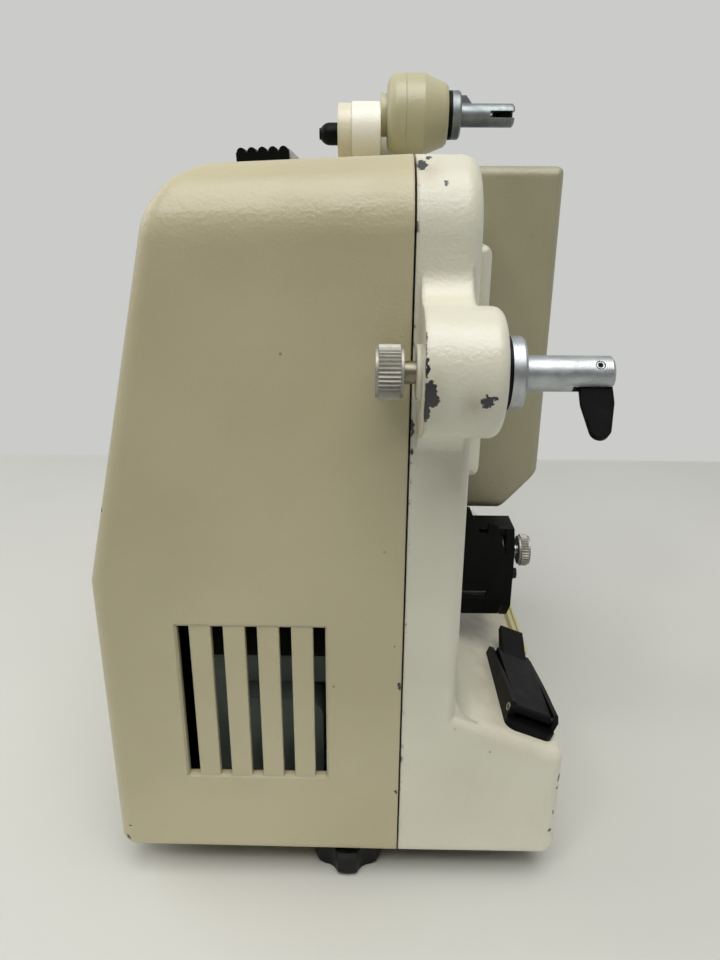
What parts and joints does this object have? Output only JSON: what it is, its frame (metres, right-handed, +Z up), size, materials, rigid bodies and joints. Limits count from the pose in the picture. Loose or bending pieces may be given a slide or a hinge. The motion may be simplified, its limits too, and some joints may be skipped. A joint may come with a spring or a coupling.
{
  "type": "movie projector",
  "caption": "Compact 8 mm film projector with a leaning drive cover, vent slots, cream casting, lamp house, folding feed arm, latched reel spindles and a star-knob tilt foot.",
  "frame": {"origin": "under the middle of the whole object, on the table", "axes": "+X towards the film side with the reel spindles, +Y the way the picture is thrown, +Z up"},
  "size_m": [0.1302, 0.2134, 0.2389],
  "materials": {
    "cream_paint": "satin",
    "khaki_paint": "satin",
    "grey_khaki_paint": "satin",
    "olive_paint": "satin",
    "black_plastic": "matte",
    "black_metal": "satin",
    "satin_aluminium": "satin",
    "steel": "satin",
    "brass": "satin",
    "rubber": "matte",
    "ivory_plastic": "satin",
    "grey_plastic": "matte",
    "ceramic": "gloss",
    "glass": "clear",
    "mirror": "polished"
  },
  "bodies": {
    "housing": {"main_frame": "cream_paint", "drive_cover": "khaki_paint", "base_plate": "black_metal", "chassis_plate": "steel", "front_feet": "rubber", "tilt_bush": "brass", "take_up_bush": "black_plastic", "arm_pivot": "steel", "take_up_belt": "rubber", "sprocket_belt": "rubber", "motor_belt": "rubber", "film_guide": "black_plastic", "cutter_base": "black_plastic", "cutter_pins": "steel", "edge_strip": "ivory_plastic", "lamp_socket": "ceramic", "lamp_bulb": "glass", "reflector": "mirror", "condenser_holder": "black_metal", "condenser_lens": "glass", "film_gate": "steel", "pressure_plate": "steel", "lens_mount": "black_metal", "motor_case": "satin_aluminium", "drive_bracket": "satin_aluminium", "transformer_core": "steel", "transformer_winding": "grey_plastic"},
    "lamp_cover": {"lamp_cover": "grey_khaki_paint"},
    "tilt_screw": {"tilt_stud": "steel"},
    "tilt_knob": {"tilt_knob": "black_plastic"},
    "take_up": {"take_up_spindle": "satin_aluminium", "take_up_pin": "steel", "clutch_knob": "satin_aluminium"},
    "take_up_latch": {"take_up_latch": "black_plastic"},
    "take_up_pulley": {"take_up_pulley": "black_plastic"},
    "feed_arm": {"feed_arm": "cream_paint", "feed_arm_plate": "olive_paint", "bell_back": "olive_paint", "bell_front": "olive_paint"},
    "arm_button": {"arm_button": "black_plastic"},
    "feed": {"feed_spindle": "satin_aluminium", "feed_pin": "steel"},
    "feed_latch": {"feed_latch": "black_plastic"},
    "control_slide": {"control_slide": "black_plastic", "slide_pointer": "grey_plastic"},
    "cutter_flap": {"cutter_flap": "black_plastic"},
    "lens": {"lens_barrel": "black_metal", "lens_glass": "glass"},
    "guide_roller": {"guide_roller": "ivory_plastic"},
    "sprocket_drive": {"sprocket_shaft": "steel", "sprocket": "ivory_plastic", "sprocket_knob": "satin_aluminium"},
    "motor_rotor": {"motor_shaft": "steel", "cooling_fan": "black_plastic"},
    "main_drive": {"main_shaft": "steel", "shutter": "black_metal"},
    "cross_drive": {"cross_shaft": "steel", "worm_wheel": "brass"},
    "claw": {"claw": "steel"}
  },
  "joints": [
    {"name": "lamp_cover_slide", "type": "slide", "parent": "housing", "child": "lamp_cover", "axis": [1, 0, 0], "range_m": [0, 0.045]},
    {"name": "tilt_screw_slide", "type": "slide", "parent": "housing", "child": "tilt_screw", "axis": [0, 0, -1], "range_m": [0, 0.01]},
    {"name": "tilt_knob_turn", "type": "hinge", "parent": "tilt_screw", "child": "tilt_knob", "pos_m": [0.00335, -0.07235, 0.0095], "axis": [0, 0, 1], "range_deg": [0, 3600]},
    {"name": "take_up_spin", "type": "hinge", "parent": "housing", "child": "take_up", "pos_m": [0.03745, -0.09235, 0.1575], "axis": [1, 0, 0], "continuous": true},
    {"name": "take_up_latch_fold", "type": "hinge", "parent": "take_up", "child": "take_up_latch", "pos_m": [0.05805, -0.09235, 0.1575], "axis": [0, -0.766, 0.6428], "range_deg": [0, 90]},
    {"name": "take_up_pulley_spin", "type": "hinge", "parent": "housing", "child": "take_up_pulley", "pos_m": [0.02635, -0.09235, 0.1575], "axis": [1, 0, 0], "continuous": true},
    {"name": "feed_arm_swing", "type": "hinge", "parent": "housing", "child": "feed_arm", "pos_m": [0.01155, 0.08265, 0.22], "axis": [-1, 0, 0], "range_deg": [0, 120]},
    {"name": "arm_button_press", "type": "slide", "parent": "feed_arm", "child": "arm_button", "axis": [1, 0, 0], "range_m": [0, 0.002], "stiffness_N_per_m": 400},
    {"name": "feed_spin", "type": "hinge", "parent": "feed_arm", "child": "feed", "pos_m": [0.03585, 0.04365, 0.2253], "axis": [1, 0, 0], "continuous": true},
    {"name": "feed_latch_fold", "type": "hinge", "parent": "feed", "child": "feed_latch", "pos_m": [0.05645, 0.04365, 0.2253], "axis": [0, 0, -1], "range_deg": [0, 90]},
    {"name": "control_slide_move", "type": "slide", "parent": "housing", "child": "control_slide", "axis": [0.9989, 0, 0.0465], "range_m": [0, 0.012]},
    {"name": "cutter_flap_lift", "type": "hinge", "parent": "housing", "child": "cutter_flap", "pos_m": [0.05674, -0.07435, 0.05405], "axis": [0.9319, 0, -0.3627], "range_deg": [0, 75]},
    {"name": "lens_focus", "type": "slide", "parent": "housing", "child": "lens", "axis": [0, 1, 0], "range_m": [-0.004, 0.006]},
    {"name": "guide_roller_spin", "type": "hinge", "parent": "housing", "child": "guide_roller", "pos_m": [0.03835, -0.03335, 0.0695], "axis": [1, 0, 0], "continuous": true},
    {"name": "motor_spin", "type": "hinge", "parent": "housing", "child": "motor_rotor", "pos_m": [-0.02365, -0.05335, 0.1355], "axis": [0, 1, 0], "continuous": true},
    {"name": "main_spin", "type": "hinge", "parent": "housing", "child": "main_drive", "pos_m": [0.01235, 0.01465, 0.1495], "axis": [0, 1, 0], "continuous": true},
    {"name": "cross_spin", "type": "hinge", "parent": "housing", "child": "cross_drive", "pos_m": [0.01835, 0.01465, 0.1337], "axis": [1, 0, 0], "continuous": true},
    {"name": "sprocket_spin", "type": "hinge", "parent": "housing", "child": "sprocket_drive", "pos_m": [0.03835, -0.03135, 0.0865], "axis": [1, 0, 0], "continuous": true},
    {"name": "claw_rock", "type": "hinge", "parent": "housing", "child": "claw", "pos_m": [-0.00165, 0.03485, 0.1495], "axis": [0, 1, 0], "range_deg": [-2, 2]}
  ],
  "couplings": [
    {"joint": "motor_spin", "follows": "main_spin", "ratio": 1.4286},
    {"joint": "cross_spin", "follows": "main_spin", "ratio": 0.041667},
    {"joint": "sprocket_spin", "follows": "main_spin", "ratio": 0.041667},
    {"joint": "take_up_pulley_spin", "follows": "main_spin", "ratio": 0.034314},
    {"joint": "tilt_knob_turn", "follows": "tilt_screw_slide", "rad_per_m": 6283.2}
  ]
}
